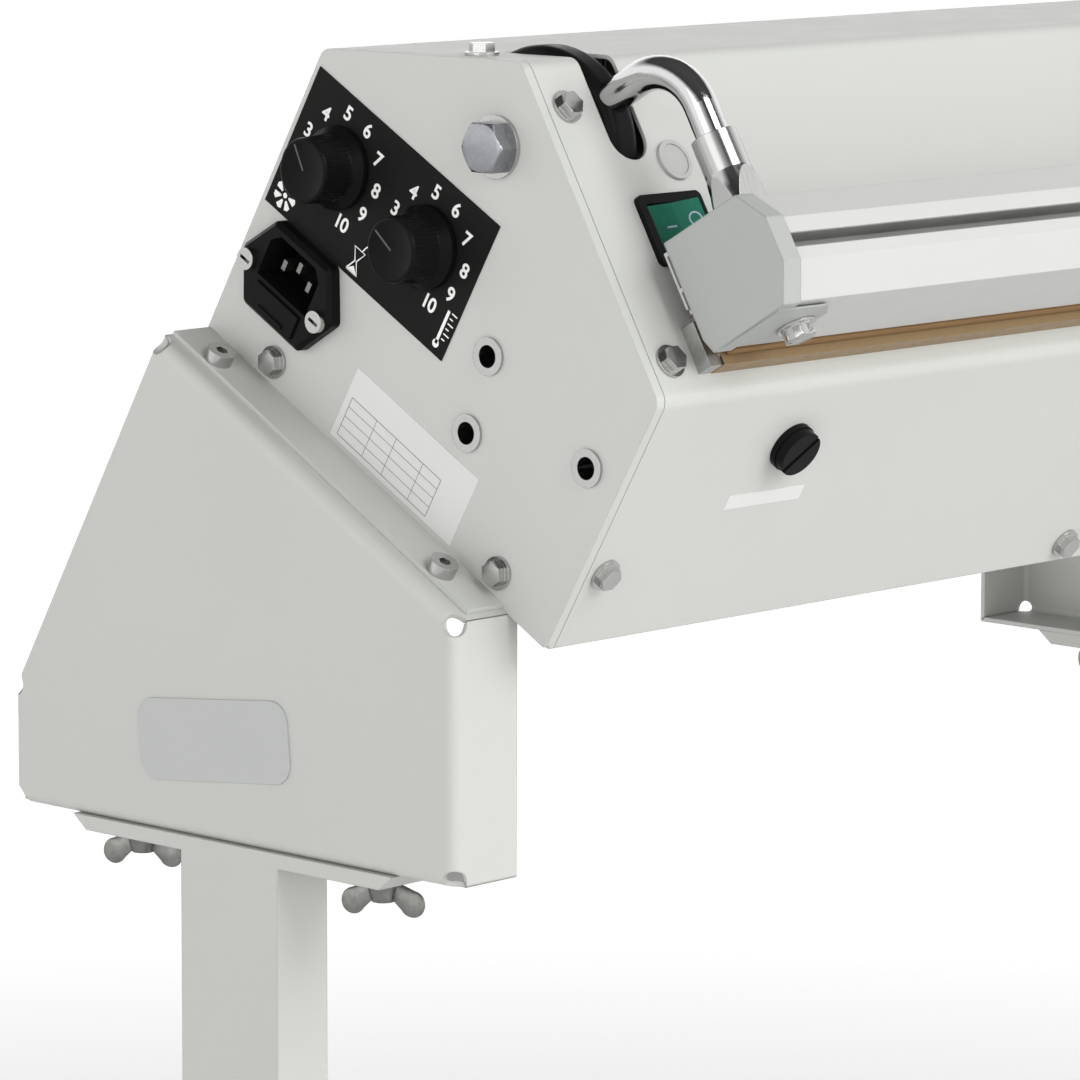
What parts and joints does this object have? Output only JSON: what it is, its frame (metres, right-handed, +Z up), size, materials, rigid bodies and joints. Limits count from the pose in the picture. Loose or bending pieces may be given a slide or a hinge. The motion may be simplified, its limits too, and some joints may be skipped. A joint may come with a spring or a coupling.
{
  "type": "impulse heat sealer",
  "caption": "Tilted impulse heat sealer on a two-leg floor stand, with a hinged sealing bar, dials and a mains inlet on the left end plate.",
  "frame": {"origin": "on the floor, in the middle of the four levelling feet", "axes": "+X along the machine to the operator's right, +Y away from the operator, +Z up"},
  "size_m": [0.6126, 0.56, 1.0092],
  "materials": {
    "body_paint": "light grey powder coat",
    "stand_paint": "light grey powder coat",
    "zinc": "bright zinc",
    "black_plastic": "moulded, satin",
    "overlay_film": "printed film",
    "label_film": "printed film",
    "badge_plate": "plain silver film",
    "green_lens": "translucent green",
    "grey_plastic": "moulded",
    "bare_aluminium": "satin",
    "glass_cloth": "woven",
    "release_film": "coated glass cloth",
    "core_iron": "varnished",
    "copper_wire": "enamelled winding",
    "board_laminate": "solder mask",
    "steel": "plain",
    "chrome_tube": "bright chrome",
    "bar_paint": "off-white powder coat",
    "cap_paint": "grey powder coat",
    "silicone": "silicone"
  },
  "bodies": {
    "base": {"left_end_plate": "body_paint", "right_end_plate": "body_paint", "front_cover": "body_paint", "rear_cover": "body_paint", "base_tray": "steel", "left_stand_head": "stand_paint", "right_stand_head": "stand_paint", "left_post": "stand_paint", "right_post": "stand_paint", "left_foot": "stand_paint", "right_foot": "stand_paint", "foot_end_caps": "black_plastic", "levelling_feet": "black_plastic", "cross_tie": "stand_paint", "tie_bolts": "zinc", "foot_bolts": "zinc", "head_studs": "zinc", "wing_nuts": "zinc", "foot_flange_screws": "zinc", "tray_screws": "zinc", "cover_screws": "zinc", "rivet_nuts": "zinc", "hex_bolts": "zinc", "bolt_washers": "zinc", "bearing_blocks": "black_plastic", "control_overlay": "overlay_film", "potentiometers": "steel", "mains_inlet": "black_plastic", "inlet_pins": "steel", "inlet_screws": "zinc", "rating_label": "label_film", "badge": "badge_plate", "rocker_bezel": "black_plastic", "hole_plug": "grey_plastic", "fuse_holder": "black_plastic", "fuse_label": "label_film", "jaw_rail": "bare_aluminium", "jaw_insulation": "glass_cloth", "heating_band": "steel", "release_tape": "release_film", "jaw_clamps": "bare_aluminium", "transformer_core": "core_iron", "transformer_winding": "copper_wire", "control_board": "board_laminate", "electromagnets": "core_iron", "return_springs": "steel"},
    "arm": {"pivot_shaft": "steel", "drums": "black_plastic", "closing_levers": "steel", "arm_tubes": "chrome_tube", "tube_sleeves": "chrome_tube", "seal_bar": "bar_paint", "bar_end_caps": "cap_paint", "silicone_strip": "silicone"},
    "knife": {"knife_carriage": "black_plastic"},
    "heat_dial": {"heat_dial": "black_plastic"},
    "cooling_dial": {"cooling_dial": "black_plastic"},
    "rocker": {"rocker_paddle": "green_lens"},
    "fuse_drawer": {"fuse_drawer": "black_plastic"},
    "fuse_cap": {"fuse_cap": "black_plastic"}
  },
  "joints": [
    {"name": "arm_pivot", "type": "hinge", "parent": "base", "child": "arm", "pos_m": [0, -0.06189, 0.9711], "axis": [-1, 0, 0], "range_deg": [0, 45], "deforming": ["return_springs"]},
    {"name": "knife_slide", "type": "slide", "parent": "arm", "child": "knife", "axis": [-1, 0, 0], "range_m": [0, 0.42]},
    {"name": "cooling_dial_turn", "type": "hinge", "parent": "base", "child": "cooling_dial", "pos_m": [-0.275, 0.00625, 0.96308], "axis": [-1, 0, 0], "range_deg": [-201, 92]},
    {"name": "heat_dial_turn", "type": "hinge", "parent": "base", "child": "heat_dial", "pos_m": [-0.275, -0.03705, 0.93808], "axis": [-1, 0, 0], "range_deg": [-225, 69]},
    {"name": "rocker_tip", "type": "hinge", "parent": "base", "child": "rocker", "pos_m": [-0.2315, -0.11326, 0.94551], "axis": [0, 0.5, 0.866], "range_deg": [0, 18]},
    {"name": "fuse_drawer_slide", "type": "slide", "parent": "base", "child": "fuse_drawer", "axis": [-1, 0, 0], "range_m": [0, 0.02]},
    {"name": "fuse_cap_turn", "type": "hinge", "parent": "base", "child": "fuse_cap", "pos_m": [-0.1917, -0.13255, 0.86949], "axis": [0, -0.866, -0.5], "range_deg": [0, 90]}
  ]
}
